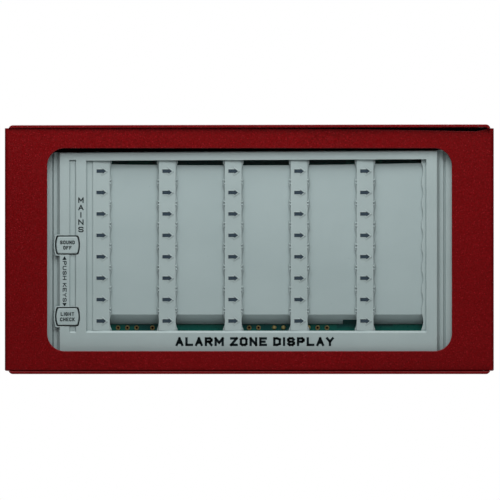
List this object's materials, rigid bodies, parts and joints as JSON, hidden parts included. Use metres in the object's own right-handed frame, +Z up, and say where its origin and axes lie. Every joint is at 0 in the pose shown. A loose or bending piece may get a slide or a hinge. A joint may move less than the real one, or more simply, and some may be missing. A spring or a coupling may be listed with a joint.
{
  "type": "fire alarm zone indicator panel",
  "caption": "Red steel wall enclosure with a clip-on windowed cover, grey moulded fascia with label windows, arrow-shaped zone indicators and push buttons.",
  "frame": {"origin": "centre of the four wall-fixing holes, on the back face that lies against the wall", "axes": "+X to the right, +Z up, the wall on the +Y side and the front facing -Y"},
  "size_m": [0.2666, 0.0445, 0.1361],
  "materials": {
    "red_paint": "fine-textured powder coat, low gloss",
    "grey_plastic": "satin moulded ABS",
    "smoked_lens": "smoked acrylic",
    "led_plastic": "tinted epoxy",
    "board_green": "solder mask over glass laminate",
    "gold_plate": "plated",
    "solder": "dull solder",
    "brass_sheet": "satin",
    "zinc_steel": "zinc plated",
    "black_plastic": "moulded",
    "terminal_green": "moulded nylon",
    "resistor_red": "dipped epoxy"
  },
  "bodies": {
    "root": {"address_header": "black_plastic", "address_jumpers": "black_plastic", "arrow_lens_strip_1": "smoked_lens", "arrow_lens_strip_2": "smoked_lens", "arrow_lens_strip_3": "smoked_lens", "arrow_lens_strip_4": "smoked_lens", "arrow_lens_strip_5": "smoked_lens", "back_box": "red_paint", "board_screws": "zinc_steel", "cable_bushing": "black_plastic", "capacitors": "zinc_steel", "circuit_board": "board_green", "controller_chip": "black_plastic", "crystal": "zinc_steel", "data_terminal_block": "terminal_green", "driver_chips": "black_plastic", "earth_nut": "zinc_steel", "earth_stud": "zinc_steel", "earth_washer": "zinc_steel", "fascia": "grey_plastic", "fascia_screws": "zinc_steel", "header_pins": "gold_plate", "label_backing": "grey_plastic", "lamp_test_switch_body": "black_plastic", "power_terminal_block": "terminal_green", "resistor_arrays": "resistor_red", "silence_switch_body": "black_plastic", "solder_joints": "solder", "solder_pads": "gold_plate", "sounder_case": "black_plastic", "sounder_disc": "brass_sheet", "standoffs": "zinc_steel", "terminal_screws": "zinc_steel", "voltage_regulator": "black_plastic", "zone_leds_1": "led_plastic", "zone_leds_2": "led_plastic", "zone_leds_3": "led_plastic", "zone_leds_4": "led_plastic", "zone_leds_5": "led_plastic"},
    "cover": {"front_cover": "red_paint"},
    "silence_key": {"silence_button": "grey_plastic", "silence_switch_plunger": "black_plastic"},
    "lamp_test_key": {"lamp_test_button": "grey_plastic", "lamp_test_switch_plunger": "black_plastic"}
  },
  "joints": [
    {"name": "cover_pull", "type": "slide", "parent": "root", "child": "cover", "axis": [0, -1, 0], "range_m": [0, 0.06]},
    {"name": "silence_press", "type": "slide", "parent": "root", "child": "silence_key", "axis": [0, 1, 0], "range_m": [0, 0.0008], "stiffness_N_per_m": 2000, "springref_m": -0.0004},
    {"name": "lamp_test_press", "type": "slide", "parent": "root", "child": "lamp_test_key", "axis": [0, 1, 0], "range_m": [0, 0.0008], "stiffness_N_per_m": 2000, "springref_m": -0.0004}
  ]
}
